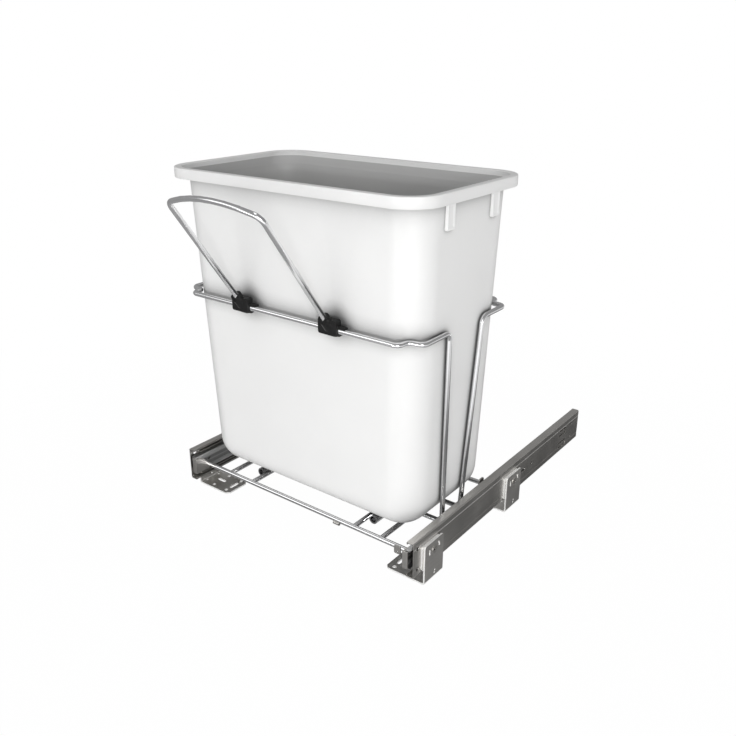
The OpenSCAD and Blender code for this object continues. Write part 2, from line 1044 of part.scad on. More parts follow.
// Block of a clip with a short jaw under the wire and a longer prong over it
module clip_jaws() {
    translate([0, clip_back, 0])
        rotate([90, 0, 0])
            linear_extrude(height = clip_front + clip_back)
                translate([clip_body_x0, -clip_low])
                    round_rect(clip_body_x1 - clip_body_x0, clip_low + clip_high, clip_corner_r);
    translate([0, jaw_w / 2 - wire_r / 2, 0])
        rotate([90, 0, 0])
            linear_extrude(height = jaw_w)
                polygon([
                    [0, -jaw_drop], [clip_body_x1 - clip_corner_r, -jaw_drop],
                    [clip_body_x1 + jaw_reach, -jaw_rise], [clip_body_x1 + jaw_reach, -prong_in],
                    [0, -prong_in]
                ]);
    translate([0, prong_w / 2, 0])
        rotate([90, 0, 0])
            linear_extrude(height = prong_w)
                translate([0, prong_in])
                    round_rect(clip_l + clip_body_x0, prong_high - prong_in, (prong_high - prong_in) / 3);
}

// Bin

// Points of one rounded-rectangle ring: half width x, half depth y, corner radius r, height z
function ring(x, y, r, z) = [
    for (k = [0 : 3], j = [0 : ring_steps])
        let (a = 90 * (k + j / ring_steps), sx = (k == 0 || k == 3) ? 1 : -1, sy = k < 2 ? 1 : -1)
        [sx * (x - r) + r * cos(a), bin_y + sy * (y - r) + r * sin(a), z]
];

// Rings of the rounded base, inset by the wall t, from the flat floor outward
function base_rings(t, z0) =
    let (round_r = base_round - t)
    [for (i = [base_steps : -1 : 0])
        let (a = 90 * i / base_steps, inset = t + round_r * (1 - cos(a)))
        ring(body_low_x - inset, body_low_y - inset, body_r - inset, z0 + round_r * (1 - sin(a)))];

// Ring of the rim, inset from its outer edge
function rim_ring(inset, z) = ring(rim_x - inset, rim_y - inset, rim_r - inset, z);

// Ring of the neck where the body meets the flare
function neck_ring(inset, z) = ring(body_top_x - inset, body_top_y - inset, body_r - inset, z);

// All rings of the bin: up the outside, over the rim and down the inside
function bin_rings(top_z) =
    let (
        neck_z = top_z - flare_h,
        edge_turns = [for (i = [0 : rim_edge_steps]) 90 * i / rim_edge_steps],
        inner = base_rings(bin_t, bin_z0 + floor_t),
        n = len(inner)
    )
    concat(
        base_rings(0, bin_z0),
        [
            neck_ring(0, neck_z),
            rim_ring(rim_lip - bin_t, top_z - skirt_t),
            rim_ring(skirt_t, top_z - skirt_t),
            rim_ring(skirt_t, top_z - rim_h),
            rim_ring(0, top_z - rim_h)
        ],
        [for (a = edge_turns) rim_ring(rim_edge_r * (1 - cos(a)), top_z - rim_edge_r * (1 - sin(a)))],
        [for (a = edge_turns)
            rim_ring(rim_lip - lip_edge_r * (1 - sin(a)), top_z - lip_edge_r * (1 - cos(a)))],
        [neck_ring(bin_t, neck_z)],
        [for (i = [n - 1 : -1 : 0]) inner[i]]
    );

module waste_bin() {
    top_z = bin_z0 + bin_h;
    color(white)
        runner_frame()
            union() {
                bin_shell(bin_rings(top_z));
                pads(top_z);
            }
}

// Closed shell through a list of rings, with flat caps on the first and the last
module bin_shell(rings) {
    n = len(rings[0]);
    last = (len(rings) - 1) * n;
    polyhedron(
        [for (r = rings) each r],
        concat(
            [for (i = [0 : len(rings) - 2], j = [0 : n - 1])
                let (k = (j + 1) % n, a = i * n, b = a + n)
                each [[a + j, b + j, b + k], [a + j, b + k, a + k]]],
            [for (j = [1 : n - 2]) [0, j, j + 1]],
            [for (j = [1 : n - 2]) [last, last + j + 1, last + j]]
        )
    );
}

// Short upright pads under the rim on both short sides
module pads(top_z) {
    for (s = [-1, 1], y = pad_ys)
        translate([s * (body_top_x + (pad_proud - pad_sink) / 2), y, top_z - rim_h - pad_h / 2])
            cube([pad_proud + pad_sink, pad_w, pad_h], center = true);
}

fixed_member(-1);  // fixed_member_left
fixed_member(1);  // fixed_member_right
middle_member(-1);  // middle_member_left
middle_member(1);  // middle_member_right
drawer_member(-1);  // drawer_member_left
drawer_member(1);  // drawer_member_right
outer_cage(-1);  // outer_cage_left
outer_cage(1);  // outer_cage_right
outer_balls(-1);  // outer_balls_left
outer_balls(1);  // outer_balls_right
inner_cage(-1);  // inner_cage_left
inner_cage(1);  // inner_cage_right
inner_balls(-1);  // inner_balls_left
inner_balls(1);  // inner_balls_right
rear_stop(-1);  // rear_stop_left
rear_stop(1);  // rear_stop_right
bracket(0, -1);  // bracket_front_left
bracket(0, 1);  // bracket_front_right
bracket(1, -1);  // bracket_rear_left
bracket(1, 1);  // bracket_rear_right
spacer(0, -1);  // spacer_front_left
spacer(0, 1);  // spacer_front_right
spacer(1, -1);  // spacer_rear_left
spacer(1, 1);  // spacer_rear_right
bracket_rivets(-1);  // bracket_rivets_left
bracket_rivets(1);  // bracket_rivets_right
front_ear(-1);  // front_ear_left
front_ear(1);  // front_ear_right
ear_rivets(-1);  // ear_rivets_left
ear_rivets(1);  // ear_rivets_right
side_plate(-1);  // side_plate_left
side_plate(1);  // side_plate_right
plate_rivets(-1);  // plate_rivets_left
plate_rivets(1);  // plate_rivets_right
front_bar();
rear_bar();
bar_tab();
bar_stub();
floor_wire(-outer_floor_x);  // floor_wire_1
floor_wire(-inner_floor_x);  // floor_wire_2
floor_wire(inner_floor_x);  // floor_wire_3
floor_wire(outer_floor_x);  // floor_wire_4
receiver_tube(-1);  // receiver_tube_left
receiver_tube(1);  // receiver_tube_right
front_hoop();
rear_hoop();
waste_bin();
handle_bail();
clip(-1);  // clip_left
clip(1);  // clip_right
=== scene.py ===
import json
import math

import bpy
from mathutils import Matrix, Vector


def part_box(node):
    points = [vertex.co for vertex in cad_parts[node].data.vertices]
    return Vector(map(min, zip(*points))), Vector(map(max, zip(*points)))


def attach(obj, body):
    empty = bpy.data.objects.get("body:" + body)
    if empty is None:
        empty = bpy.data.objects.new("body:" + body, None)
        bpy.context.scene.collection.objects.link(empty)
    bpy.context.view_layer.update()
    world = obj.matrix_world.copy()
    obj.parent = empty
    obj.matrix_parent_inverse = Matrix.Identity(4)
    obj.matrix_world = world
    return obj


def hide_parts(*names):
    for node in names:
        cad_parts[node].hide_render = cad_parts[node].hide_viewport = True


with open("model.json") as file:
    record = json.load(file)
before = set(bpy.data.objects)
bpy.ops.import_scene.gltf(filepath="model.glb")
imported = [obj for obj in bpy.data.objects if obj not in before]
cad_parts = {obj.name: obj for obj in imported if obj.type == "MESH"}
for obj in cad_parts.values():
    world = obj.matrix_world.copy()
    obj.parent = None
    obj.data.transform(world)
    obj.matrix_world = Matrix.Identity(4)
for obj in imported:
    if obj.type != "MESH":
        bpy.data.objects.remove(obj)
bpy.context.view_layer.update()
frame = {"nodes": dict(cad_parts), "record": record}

# Sizes are in millimetres and are turned into metres where a mesh is made
MM = 0.001
NODES = frame["nodes"]


def cad_corners(node):
    """Lowest and highest corner of a CAD node, in millimetres."""
    low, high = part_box(node)
    return low / MM, high / MM


# Wire frame: its outer sizes come from the frame's own boxes
WIRE_R = 3.0
HOOP_LOW, HOOP_HIGH = cad_corners("front_hoop")
REAR_LOW, REAR_HIGH = cad_corners("rear_hoop")
HOOP_X = HOOP_HIGH.x - WIRE_R
HOOP_Y = HOOP_LOW.y + WIRE_R
HOOP_Z = HOOP_HIGH.z - WIRE_R
BOTTOM_Z = HOOP_LOW.z + WIRE_R
REAR_Y = REAR_HIGH.y - WIRE_R
LEG_BASE_X = 166.8
FRONT_BASE_Y = -34.0
REAR_BASE_Y = 6.5
# Notched corner of a hoop: where its three bends lie
LEG_TOP_STEP = 67.0
LOBE_X = HOOP_X - 19.2
DENT_X = HOOP_X - 18.2
DENT_BACK = 15.6
LOBE_BACK = 18.0
HOOP_BEND = 7.0
LEG_BEND = 9.0

# Handle: its lean in degrees, half width, leg length and the depth of its bow
BAIL_LEAN = 35.5
BAIL_X = 66.0
BAIL_L = 165.0
BAIL_BOW = 13.0
BOW_SHARE = 1.74
BAIL_BEND = 12.0
SOCKET_S = 7.0

# Bin: half widths are given as (x, y)
BIN_LOW, BIN_HIGH = cad_corners("waste_bin")
BIN_Y = (BIN_LOW.y + BIN_HIGH.y) / 2
RIM_X = BIN_HIGH.x
RIM_Y = (BIN_HIGH.y - BIN_LOW.y) / 2
RIM_R = 39.0
RIM_H = 12.0
RIM_LIP = 9.0
RIM_EDGE_R = 1.1
LIP_EDGE_R = 1.1
SKIRT_T = 2.2
SKIRT_EDGE = 0.6
SKIRT_CORNER = 1.2
WALL = 2.4
FLARE_H = 16.0
NECK = (174.1, 94.5)
BASE = (164.1, 85.0)
BODY_R = 38.0
BASE_ROUND = 36.0
FLOOR_T = 2.8
# Bands of faces from below the light mouth down to the inner floor, which take the inside's darker grey, a
# painted shade
INSIDE_RINGS = 22

# Pads under the rim on the short sides
PAD_W = 15.0
PAD_H = 28.0
PAD_PROUD = 2.8
PAD_SINK = 1.0
PAD_CORNER = 2.0
PAD_YS = (-55.0, 35.0)

# Camera fitted to the photograph
CAMERA_AT = (583.0, -720.0, 563.8)
CAMERA_AZ = 37.517
CAMERA_EL = 22.154
CAMERA_LENS = 38.48

# Finishes of nodes that differ from their slot's, by the start of the name
FINISHES = {
    "fixed_member": "rail_zinc_line_highlight",
    "drawer_member": "drawer_zinc_band_highlights",
    "bracket_front": "bracket_zinc_edge_highlights",
    "bracket_rear": "bracket_zinc_edge_highlights",
    "spacer": "bracket_zinc_edge_highlights",
    "bar_stub": "plate_zinc",
}
# Tints of zinc plating, from dark to pale
ZINC_DARK = (0.5, 0.487, 0.465)
ZINC_EVEN = (0.58, 0.567, 0.545)
ZINC_DULL = (0.58, 0.565, 0.54)
ZINC_FAIR = (0.67, 0.655, 0.63)
ZINC_LIGHT = (0.72, 0.705, 0.68)
ZINC_PALE = (0.8, 0.785, 0.76)
# Painted highlights on metal: their pale tint, and the colour and strength of the glow on the brackets'
# sheared edges
HIGHLIGHT_TINT = (0.95, 0.95, 0.94, 1)
HIGHLIGHT_GLOW_COLOUR = (1.0, 0.99, 0.96, 1)
EDGE_HIGHLIGHT_GLOW = 0.13
# Radii in metres by which the shading rounds sheet, cage and moulded edges
SHEET_EDGE = 0.0005
CAGE_EDGE = 0.0001
MOULD_EDGE = 0.0006

# Heights in metres: the feet's top, the middle of the runners and the rolled line above it
FOOT_TOP = 0.002
FOOT_FADE = 0.0015
RUNNER_MID = 0.0395
LINE_OFF = 0.0139

# Soft shade in the bin's corners: reach in metres, darkest level and the openness that gets it
BIN_SHADES = ((0.06, 0.35, 0.2), (0.02, 0.4, 0.42))
OPEN_FROM = 0.97
# Shade of the flare inside the bin, and how far below the rim it starts and is full, in metres
MOUTH_SHADE = 0.82
MOUTH_FADE = (0.024, 0.012)

# Light that falls on the unit from the world, in front of it and behind it
WORLD_LEVEL = 0.5
BEHIND_LEVEL = 0.22
BEHIND_FADE = (0.0, 0.7)

# What metal mirrors of the world: a dim room, one bright zone on each side in front, dull low at the back
ROOM_LEVEL = 0.31
BRIGHT_LEVEL = 1.7
BRIGHT_WAY = (0.56, -0.73, 0.39)
BRIGHT_FADE = (0.93, 0.995)
DULL_LEVEL = 0.28
DULL_BACK_FADE = (0.15, 0.6)
DULL_LOW_FADE = (0.75, 0.45)

# What metal mirrors of the floor; the fades are in metres
FRONT_FLOOR = 1.2
FAR_FLOOR = 0.75
FRONT_FLOOR_FADE = (-0.3, -0.5)
LEFT_FLOOR = 0.3
LEFT_FLOOR_FADE = (0.0, -0.3)
# Painted shade on the floor beside and under the unit, which only metal mirrors: its level and the fades of
# its zone
SHADE_LEVEL = 0.1
SHADE_SIDE_FADE = (0.65, 0.38)
SHADE_FRONT_FADE = (-0.32, -0.22)
SHADE_BACK_FADE = (0.8, 0.5)
STEEP_LEVEL = 0.35
STEEP_FADE = (0.5, 0.72)

# Share of plain white that the camera sees near the unit, and where it grows to full
FLOOR_SIZE = 60
FLOOR_WHITE = 0.99
WHITE_FADE = (0.4, 0.9)

# Lamps: name, place, target and size in metres, power in watts
LAMPS = (
    ("front", (-0.4, -3.0, 0.1), (0, 0, 0.2), (1.8, 1.0), 29),
    ("corner", (2.3, -2.1, 0.5), (0, 0, 0.25), (0.9, 0.8), 40),
    ("top", (0.0, 0.1, 3.2), (0, 0, 0.25), (0.5, 0.5), 12),
)


# Mesh helpers

def new_mesh(name, points, faces):
    """Smooth-shaded object from points in millimetres."""
    mesh = bpy.data.meshes.new(name)
    mesh.from_pydata([Vector(p) * MM for p in points], [], faces)
    mesh.update()
    for face in mesh.polygons:
        face.use_smooth = True
    obj = bpy.data.objects.new(name, mesh)
    bpy.context.scene.collection.objects.link(obj)
    return obj


def loft(rings, closed=False, caps=True):
    """Faces through rings of equal length; the first and last ring get a cap unless closed."""
    n = len(rings[0])
    count = len(rings)
    points = [p for ring in rings for p in ring]
    faces = []
    for i in range(count if closed else count - 1):
        a, b = i * n, ((i + 1) % count) * n
        faces += [(a + j, a + (j + 1) % n, b + (j + 1) % n, b + j) for j in range(n)]
    if caps and not closed:
        faces.append(tuple(range(n - 1, -1, -1)))
        faces.append(tuple((count - 1) * n + j for j in range(n)))
    return points, faces


def bend_rings(p, q, s, radius, step=6.0):
    """Centres and directions along the bend at q."""
    a = (q - p).normalized()
    b = (s - q).normalized()
    turn = a.angle(b)
    side = a.cross(a.cross(b).normalized())
    middle = q - a * radius * math.tan(turn / 2) - side * radius
    n = max(2, math.ceil(math.degrees(turn) / step))
    out = []
    for i in range(n + 1):
        t = turn * i / n
        out.append((middle + radius * (side * math.cos(t) + a * math.sin(t)),
                    a * math.cos(t) - side * math.sin(t)))
    return out


def tube(name, path, side, radius=WIRE_R, closed=False, sides=24):
    """Round wire along (centre, direction) pairs, carried without twist."""
    rings = []
    u = Vector(side)
    for i, (centre, way) in enumerate(path):
        if i:
            u = path[i - 1][1].rotation_difference(way) @ u
        w = way.cross(u)
        rings.append([centre + radius * (u * math.cos(a) + w * math.sin(a))
                      for a in (2 * math.pi * j / sides for j in range(sides))])
    points, faces = loft(rings, closed)
    return new_mesh(name, points, faces)


def bent_wire(name, corners, radii, side, closed):
    """Round wire along straight runs with a bend at each corner; an open wire starts and ends at a corner."""
    corners = [Vector(c) for c in corners]
    path = []
    n = len(corners)
    if closed:
        for i in range(n):
            path += bend_rings(corners[i - 1], corners[i], corners[(i + 1) % n], radii[i])
    else:
        path.append((corners[0], (corners[1] - corners[0]).normalized()))
        for i in range(1, n - 1):
            path += bend_rings(corners[i - 1], corners[i], corners[i + 1], radii[i - 1])
        path.append((corners[-1], (corners[-1] - corners[-2]).normalized()))
    return tube(name, path, side, closed=closed)


# Materials

def tree_of(name):
    """New material with its nodes, links and shader."""
    material = bpy.data.materials.new(name)
    material.use_nodes = True
    nodes = material.node_tree.nodes
    links = material.node_tree.links
    return material, nodes, links, nodes["Principled BSDF"]


def noise(nodes, links, scale, detail=4.0, stretch=(1, 1, 1)):
    """Object-space noise in cells per metre."""
    place = nodes.new("ShaderNodeTexCoord")
    mapping = nodes.new("ShaderNodeMapping")
    mapping.inputs["Scale"].default_value = stretch
    texture = nodes.new("ShaderNodeTexNoise")
    texture.inputs["Scale"].default_value = scale
    texture.inputs["Detail"].default_value = detail
    links.new(place.outputs["Object"], mapping.inputs["Vector"])
    links.new(mapping.outputs["Vector"], texture.inputs["Vector"])
    return texture.outputs["Fac"]


def ramp(nodes, links, value, low, high, start=0.3, end=0.7):
    """Colour or grey from low to high as value goes from start to end."""
    node = nodes.new("ShaderNodeValToRGB")
    node.color_ramp.elements[0].position = start
    node.color_ramp.elements[1].position = end
    node.color_ramp.elements[0].color = grey(low)
    node.color_ramp.elements[1].color = grey(high)
    links.new(value, node.inputs["Fac"])
    return node.outputs["Color"]


def grey(value):
    """Colour from a number or from three channels."""
    if isinstance(value, (int, float)):
        return (value, value, value, 1)
    return tuple(value) + (1,)


def bump(nodes, links, height, strength, distance, normal=None):
    """Normal from a height; normal is the one it starts from."""
    node = nodes.new("ShaderNodeBump")
    node.inputs["Strength"].default_value = strength
    node.inputs["Distance"].default_value = distance
    links.new(height, node.inputs["Height"])
    if normal is not None:
        links.new(normal, node.inputs["Normal"])
    return node.outputs["Normal"]


def math_node(nodes, links, kind, *values):
    """Arithmetic node; each value is a number or a socket."""
    node = nodes.new("ShaderNodeMath")
    node.operation = kind
    for socket, value in zip(node.inputs, values):
        if isinstance(value, (int, float)):
            socket.default_value = value
        else:
            links.new(value, socket)
    return node.outputs[0]


def fade(nodes, links, value, start, end):
    """0 at start, 1 at end, smooth between."""
    node = nodes.new("ShaderNodeMapRange")
    node.interpolation_type = "SMOOTHSTEP"
    node.inputs["From Min"].default_value = start
    node.inputs["From Max"].default_value = end
    links.new(value, node.inputs["Value"])
    return node.outputs["Result"]


def mixed(nodes, links, share, low, high):
    """Number from low to high by share."""
    step = math_node(nodes, links, "SUBTRACT", high, low)
    return math_node(nodes, links, "MULTIPLY_ADD", share, step, low)


def colour_mix(nodes, links, kind, share, first, second):
    """Mixes two colours; share is a number or a socket."""
    node = nodes.new("ShaderNodeMix")
    node.data_type = "RGBA"
    node.blend_type = kind
    if isinstance(share, (int, float)):
        node.inputs[0].default_value = share
    else:
        links.new(share, node.inputs[0])
    for socket, value in ((node.inputs[6], first), (node.inputs[7], second)):
        if isinstance(value, tuple):
            socket.default_value = value
        else:
            links.new(value, socket)
    return node.outputs[2]


def sheared_edge_highlight(nodes, links):
    """1 on the sheared edges of the brackets and spacers, where a highlight is painted, 0 on their flat
    faces.
    """
    geometry = nodes.new("ShaderNodeNewGeometry")
    turn = nodes.new("ShaderNodeSeparateXYZ")
    place = nodes.new("ShaderNodeSeparateXYZ")
    links.new(geometry.outputs["True Normal"], turn.inputs[0])
    links.new(geometry.outputs["Position"], place.inputs[0])
    upright = fade(nodes, links, math_node(nodes, links, "ABSOLUTE", turn.outputs["X"]), 0.75, 0.4)
    foot = fade(nodes, links, math_node(nodes, links, "ABSOLUTE", turn.outputs["Z"]), 0.75, 0.4)
    high = fade(nodes, links, place.outputs["Z"], FOOT_TOP, FOOT_TOP + FOOT_FADE)
    return math_node(nodes, links, "MULTIPLY", mixed(nodes, links, high, foot, upright), 0.85)


def web_height(nodes, links):
    """Height above the runners' middle, and 1 where the face is part of an upright web."""
    geometry = nodes.new("ShaderNodeNewGeometry")
    turn = nodes.new("ShaderNodeSeparateXYZ")
    place = nodes.new("ShaderNodeSeparateXYZ")
    links.new(geometry.outputs["True Normal"], turn.inputs[0])
    links.new(geometry.outputs["Position"], place.inputs[0])
    height = math_node(nodes, links, "SUBTRACT", place.outputs["Z"], RUNNER_MID)
    flat = fade(nodes, links, math_node(nodes, links, "ABSOLUTE", turn.outputs["X"]), 0.5, 0.8)
    return height, flat


def rolled_line_highlight(nodes, links):
    """Painted highlight: 1 on the upper rolled line along the outside of a runner."""
    height, flat = web_height(nodes, links)
    away = math_node(nodes, links, "ABSOLUTE", math_node(nodes, links, "SUBTRACT", height, LINE_OFF))
    line = fade(nodes, links, away, 0.0009, 0.0004)
    return math_node(nodes, links, "MULTIPLY", math_node(nodes, links, "MULTIPLY", line, flat), 0.6)


def drawer_band_highlights(nodes, links):
    """Painted highlights: 1 on the drawer member's raised bands and on the thin line in its groove, 0 in the
    groove.
    """
    height, flat = web_height(nodes, links)
    off = math_node(nodes, links, "ABSOLUTE", height)
    band = fade(nodes, links, off, 0.0050, 0.0062)
    line = fade(nodes, links, off, 0.0010, 0.0004)
    share = math_node(nodes, links, "MAXIMUM", band, line)
    return math_node(nodes, links, "MULTIPLY", math_node(nodes, links, "MULTIPLY", share, flat), 0.3)


def soft_edge(nodes, radius):
    """Normal that rounds sharp edges by radius, in metres."""
    node = nodes.new("ShaderNodeBevel")
    node.samples = 6
    node.inputs["Radius"].default_value = radius
    return node.outputs["Normal"]


def zinc_steel(name, low, high, edge, rough, bright=None, glow=0.0):
    """Dull zinc-plated sheet with rolling streaks and softened edges; bright gives its painted highlights, a
    pale tint with less metal that glows by glow.
    """
    material, nodes, links, shader = tree_of(name)
    streak = noise(nodes, links, 60, 6, (6, 0.35, 6))
    cloud = noise(nodes, links, 28, 5)
    mix = nodes.new("ShaderNodeMix")
    mix.data_type = "FLOAT"
    mix.inputs["Factor"].default_value = 0.45
    links.new(streak, mix.inputs["A"])
    links.new(cloud, mix.inputs["B"])
    colour = ramp(nodes, links, mix.outputs["Result"], low, high)
    shader.inputs["Metallic"].default_value = 1.0
    if bright is not None:
        share = bright(nodes, links)
        colour = colour_mix(nodes, links, "MIX", share, colour, HIGHLIGHT_TINT)
        links.new(mixed(nodes, links, share, 1.0, 0.25), shader.inputs["Metallic"])
        shader.inputs["Emission Color"].default_value = HIGHLIGHT_GLOW_COLOUR
        links.new(math_node(nodes, links, "MULTIPLY", share, glow), shader.inputs["Emission Strength"])
    links.new(colour, shader.inputs["Base Color"])
    links.new(ramp(nodes, links, cloud, rough, rough + 0.12), shader.inputs["Roughness"])
    normal = bump(nodes, links, streak, 0.08, 0.0002, soft_edge(nodes, edge))
    links.new(normal, shader.inputs["Normal"])
    return material


def chrome_wire():
    """Bright plated wire with a faint haze in patches."""
    material, nodes, links, shader = tree_of("bright_wire")
    cloud = noise(nodes, links, 45, 4)
    links.new(ramp(nodes, links, cloud, (0.84, 0.84, 0.85), (0.9, 0.9, 0.91)), shader.inputs["Base Color"])
    links.new(ramp(nodes, links, cloud, 0.12, 0.18), shader.inputs["Roughness"])
    shader.inputs["Metallic"].default_value = 1.0
    return material


def ball_steel():
    """Polished steel."""
    material, nodes, links, shader = tree_of("ball_steel")
    cloud = noise(nodes, links, 200, 3)
    links.new(ramp(nodes, links, cloud, 0.66, 0.74), shader.inputs["Base Color"])
    links.new(ramp(nodes, links, cloud, 0.06, 0.14), shader.inputs["Roughness"])
    shader.inputs["Metallic"].default_value = 1.0
    return material


def corner_shade(nodes, links, colour, reach, depth, start):
    """Darkens a colour where other surfaces lie within reach."""
    near = nodes.new("ShaderNodeAmbientOcclusion")
    near.samples = 16
    near.inputs["Distance"].default_value = reach
    shade = ramp(nodes, links, near.outputs["AO"], depth, 1.0, start, OPEN_FROM)
    return colour_mix(nodes, links, "MULTIPLY", 1.0, colour, shade)


def bin_plastic(name, low, high, shades=(), mouth=None):
    """Satin white moulding with a fine grain and faint flow clouds. The shades are those of its corners, and
    mouth is the rim's height in metres where the flare inside is shaded."""
    material, nodes, links, shader = tree_of(name)
    cloud = noise(nodes, links, 7, 4)
    colour = ramp(nodes, links, cloud, low, high)
    for reach, depth, start in shades:
        colour = corner_shade(nodes, links, colour, reach, depth, start)
    if mouth is not None:
        place = nodes.new("ShaderNodeSeparateXYZ")
        links.new(nodes["Texture Coordinate"].outputs["Object"], place.inputs[0])
        share = fade(nodes, links, place.outputs["Z"], mouth - MOUTH_FADE[0], mouth - MOUTH_FADE[1])
        colour = colour_mix(nodes, links, "MULTIPLY", share, colour, grey(MOUTH_SHADE))
    links.new(colour, shader.inputs["Base Color"])
    links.new(ramp(nodes, links, noise(nodes, links, 35, 5), 0.34, 0.46), shader.inputs["Roughness"])
    grain = noise(nodes, links, 1400, 3)
    links.new(bump(nodes, links, grain, 0.06, 0.0001), shader.inputs["Normal"])
    return material


def dark_moulding(name, low, high, rough):
    """Black plastic or rubber with a fine texture."""
    material, nodes, links, shader = tree_of(name)
    cloud = noise(nodes, links, 180, 4)
    links.new(ramp(nodes, links, cloud, low, high), shader.inputs["Base Color"])
    links.new(ramp(nodes, links, cloud, rough, rough + 0.15), shader.inputs["Roughness"])
    shader.inputs["Specular IOR Level"].default_value = 0.3
    grain = noise(nodes, links, 1600, 2)
    normal = bump(nodes, links, grain, 0.15, 0.0001, soft_edge(nodes, MOULD_EDGE))
    links.new(normal, shader.inputs["Normal"])
    return material


def make_materials():
    """Every finish by its name."""
    return {
        "runner_zinc": zinc_steel("runner_zinc", ZINC_DARK, ZINC_EVEN, SHEET_EDGE, 0.3),
        # Fixed members: a painted highlight on the upper rolled line
        "rail_zinc_line_highlight": zinc_steel("rail_zinc_line_highlight", ZINC_DULL, ZINC_FAIR, SHEET_EDGE, 0.3, rolled_line_highlight),
        # Drawer members: painted highlights on their bands and groove line
        "drawer_zinc_band_highlights": zinc_steel("drawer_zinc_band_highlights", 0.42, 0.5, SHEET_EDGE, 0.3, drawer_band_highlights),
        "plate_zinc": zinc_steel("plate_zinc", ZINC_DULL, ZINC_FAIR, SHEET_EDGE, 0.4),
        # Brackets and spacers: painted highlights that glow on their sheared edges
        "bracket_zinc_edge_highlights": zinc_steel("bracket_zinc_edge_highlights", ZINC_LIGHT, ZINC_PALE, SHEET_EDGE, 0.4,
                                   sheared_edge_highlight, EDGE_HIGHLIGHT_GLOW),
        "bright_wire": chrome_wire(),
        "cage_steel": zinc_steel("cage_steel", 0.3, 0.38, CAGE_EDGE, 0.3),
        "ball_steel": ball_steel(),
        "stop_rubber": dark_moulding("stop_rubber", 0.018, 0.03, 0.55),
        "clip_plastic": dark_moulding("clip_plastic", 0.004, 0.008, 0.42),
        "bin_plastic": bin_plastic("bin_plastic", (0.86, 0.86, 0.855), (0.89, 0.89, 0.885), BIN_SHADES),
        # Inside of the bin: the same plastic in a darker grey, a painted shade
        "bin_inside_painted_shade": bin_plastic("bin_inside_painted_shade", (0.64, 0.64, 0.635), (0.67, 0.67, 0.665),
                                  mouth=BIN_HIGH.z * MM),
        # Pads: the same plastic in a paler grey, a painted light on their faces
        "bin_pads_painted_light": bin_plastic("bin_pads_painted_light", (0.93, 0.93, 0.925), (0.95, 0.95, 0.945)),
    }


def shade_by_angle(obj, degrees):
    """Smooth shading with sharp edges where faces meet at more than the angle."""
    bpy.context.view_layer.objects.active = obj
    for other in bpy.context.selected_objects:
        other.select_set(False)
    obj.select_set(True)
    bpy.ops.object.shade_smooth_by_angle(angle=math.radians(degrees))


def dress_cad(materials):
    """Gives every CAD node its finish, and keeps the black clips out of what the bright wire mirrors."""
    slots = {s["node"]: s["material_slot"] for s in frame["record"]["subparts"]}
    for name, obj in NODES.items():
        obj.data.materials.clear()
        own = [finish for start, finish in FINISHES.items() if name.startswith(start)]
        obj.data.materials.append(materials[own[0] if own else slots[name]])
    for name in ("clip_left", "clip_right"):
        NODES[name].visible_glossy = False


def finish_piece(obj, body, slot, materials, nodes):
    """Gives a piece the finish of its slot, puts it under its body, and hides the CAD nodes that it stands
    for.
    """
    obj.data.materials.append(materials[slot])
    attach(obj, body)
    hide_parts(*nodes)


# Wires

def hoop_corners(front_y, base_y, way):
    """Corners of a hoop whose front wire is at front_y; way is 1 for the front hoop and -1 for the rear."""
    def side(s):
        return [
            (s * LOBE_X, front_y, HOOP_Z),
            (s * DENT_X, front_y + way * DENT_BACK, HOOP_Z),
            (s * HOOP_X, front_y + way * LOBE_BACK, HOOP_Z),
            (s * HOOP_X, front_y + way * LEG_TOP_STEP, HOOP_Z),
            (s * LEG_BASE_X, base_y, BOTTOM_Z),
        ]
    return side(1) + side(-1)[::-1]


def make_hoops(materials):
    """Front and rear hoop, each one closed wire."""
    half = [HOOP_BEND] * 3 + [LEG_BEND] * 2
    radii = half + half[::-1]
    for name, front_y, base_y, way in (("front_hoop", HOOP_Y, FRONT_BASE_Y, 1),
                                       ("rear_hoop", REAR_Y, REAR_BASE_Y, -1)):
        corners = hoop_corners(front_y, base_y, way)
        if way < 0:
            corners = corners[::-1]
        wire = bent_wire(name + "_wire", corners, radii, (0, 0, 1), True)
        finish_piece(wire, "drawer", "bright_wire", materials, [name])


def handle_point(x, s, out=0.0):
    """Point of the handle: x across, s along the legs, out square to the handle's plane."""
    lean = math.radians(BAIL_LEAN)
    y = HOOP_Y - s * math.sin(lean) - out * math.cos(lean)
    z = HOOP_Z + s * math.cos(lean) - out * math.sin(lean)
    return Vector((x, y, z))


def make_bail(materials):
    """Bowed handle; the bow is one wide bend at a corner in front of it."""
    vertex = BAIL_BOW * BOW_SHARE
    angle = math.atan(vertex / BAIL_X)
    bow_r = (vertex - BAIL_BOW) / (1 / math.cos(angle) - 1)
    corners = [handle_point(x, s) for x, s in (
        (-BAIL_X, SOCKET_S), (-BAIL_X, BAIL_L), (0, BAIL_L + vertex), (BAIL_X, BAIL_L), (BAIL_X, SOCKET_S))]
    side = handle_point(0, 0, 1) - handle_point(0, 0)
    wire = bent_wire("handle_wire", corners, [BAIL_BEND, bow_r, BAIL_BEND], side, False)
    finish_piece(wire, "handle", "bright_wire", materials, ["handle_bail"])


# Bin

def rounded_ring(x, y, r, z, steps=14):
    """Ring of a rounded rectangle round the bin's axis; x and y are half widths."""
    out = []
    for k, (sx, sy) in enumerate(((1, 1), (-1, 1), (-1, -1), (1, -1))):
        for j in range(steps + 1):
            a = math.radians(90 * (k + j / steps))
            out.append((sx * (x - r) + r * math.cos(a), BIN_Y + sy * (y - r) + r * math.sin(a), z))
    return out


def arc(n):
    """Angles of a quarter turn in n steps."""
    return [math.radians(90 * i / n) for i in range(n + 1)]


